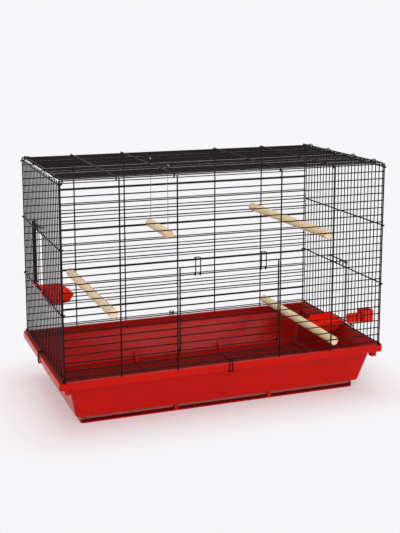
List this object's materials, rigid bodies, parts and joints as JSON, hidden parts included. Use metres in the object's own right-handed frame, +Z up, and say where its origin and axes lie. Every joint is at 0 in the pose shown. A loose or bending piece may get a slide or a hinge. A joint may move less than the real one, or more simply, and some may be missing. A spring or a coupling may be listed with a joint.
{
  "type": "bird cage",
  "caption": "Rectangular wire bird cage with a hinged front door, sliding feed doors, seed cups, wooden perches and a swing, held by wire clips on a deep plastic tray.",
  "frame": {"origin": "under the middle of the whole object's box, on the ground plane the tray stands on", "axes": "+X to the right along the long side, -Y out of the front with the large door, +Z up"},
  "size_m": [0.6248, 0.3214, 0.424],
  "materials": {
    "black_wire": "gloss black coating",
    "tray_red": "semi-gloss red",
    "cup_red": "semi-gloss orange red",
    "perch_wood": "bare turned wood",
    "plain_steel": "plain wire"
  },
  "bodies": {
    "cage": {"tray": "tray_red", "front_panel": "black_wire", "back_panel": "black_wire", "left_side_panel": "black_wire", "right_side_panel": "black_wire", "roof_panel": "black_wire", "perch_left": "perch_wood", "perch_upper_right": "perch_wood", "perch_lower_right": "perch_wood"},
    "front_door": {"front_door": "black_wire"},
    "door_latch_left": {"door_latch_left": "black_wire"},
    "door_latch_right": {"door_latch_right": "black_wire"},
    "left_feed_door": {"left_feed_door": "black_wire"},
    "right_feed_door": {"right_feed_door": "black_wire"},
    "left_feeder_cup": {"left_feeder_cup": "cup_red"},
    "right_feeder_cup": {"right_feeder_cup": "cup_red"},
    "outer_cup": {"outer_cup": "cup_red"},
    "swing": {"swing_wire": "plain_steel", "swing_perch": "perch_wood"},
    "clip_front": {"clip_front": "black_wire"},
    "clip_back": {"clip_back": "black_wire"},
    "clip_left": {"clip_left": "black_wire"},
    "clip_right": {"clip_right": "black_wire"}
  },
  "joints": [
    {"name": "front_door_hinge", "type": "hinge", "parent": "cage", "child": "front_door", "pos_m": [-0.01067, -0.154, 0.1186], "axis": [1, 0, 0], "range_deg": [0, 120]},
    {"name": "latch_left_hinge", "type": "hinge", "parent": "front_door", "child": "door_latch_left", "pos_m": [-0.07067, -0.15455, 0.2486], "axis": [1, 0, 0], "range_deg": [0, 150]},
    {"name": "latch_right_hinge", "type": "hinge", "parent": "front_door", "child": "door_latch_right", "pos_m": [0.04933, -0.15455, 0.2486], "axis": [1, 0, 0], "range_deg": [0, 150]},
    {"name": "left_feed_door_slide", "type": "slide", "parent": "cage", "child": "left_feed_door", "axis": [0, 0, 1], "range_m": [0, 0.09]},
    {"name": "right_feed_door_slide", "type": "slide", "parent": "cage", "child": "right_feed_door", "axis": [0, 0, 1], "range_m": [0, 0.09]},
    {"name": "left_cup_hinge", "type": "hinge", "parent": "cage", "child": "left_feeder_cup", "pos_m": [-0.30417, 0.01875, 0.2005], "axis": [0, -1, 0], "range_deg": [0, 15]},
    {"name": "right_cup_hinge", "type": "hinge", "parent": "cage", "child": "right_feeder_cup", "pos_m": [0.28283, 0.00625, 0.088], "axis": [0, 1, 0], "range_deg": [0, 12]},
    {"name": "outer_cup_slide", "type": "slide", "parent": "cage", "child": "outer_cup", "axis": [1, 0, 0], "range_m": [0, 0.04]},
    {"name": "swing_hinge", "type": "hinge", "parent": "cage", "child": "swing", "pos_m": [-0.08698, 0, 0.41815], "axis": [0, 1, 0], "range_deg": [-20, 20]},
    {"name": "clip_front_hinge", "type": "hinge", "parent": "cage", "child": "clip_front", "pos_m": [-0.01067, -0.154, 0.0926], "axis": [-1, 0, 0], "range_deg": [0, 110]},
    {"name": "clip_back_hinge", "type": "hinge", "parent": "cage", "child": "clip_back", "pos_m": [-0.01067, 0.154, 0.0926], "axis": [1, 0, 0], "range_deg": [0, 110]},
    {"name": "clip_left_hinge", "type": "hinge", "parent": "cage", "child": "clip_left", "pos_m": [-0.30417, 0.00625, 0.088], "axis": [0, 1, 0], "range_deg": [0, 35]},
    {"name": "clip_right_hinge", "type": "hinge", "parent": "cage", "child": "clip_right", "pos_m": [0.28283, -0.04375, 0.088], "axis": [0, -1, 0], "range_deg": [0, 35]}
  ]
}
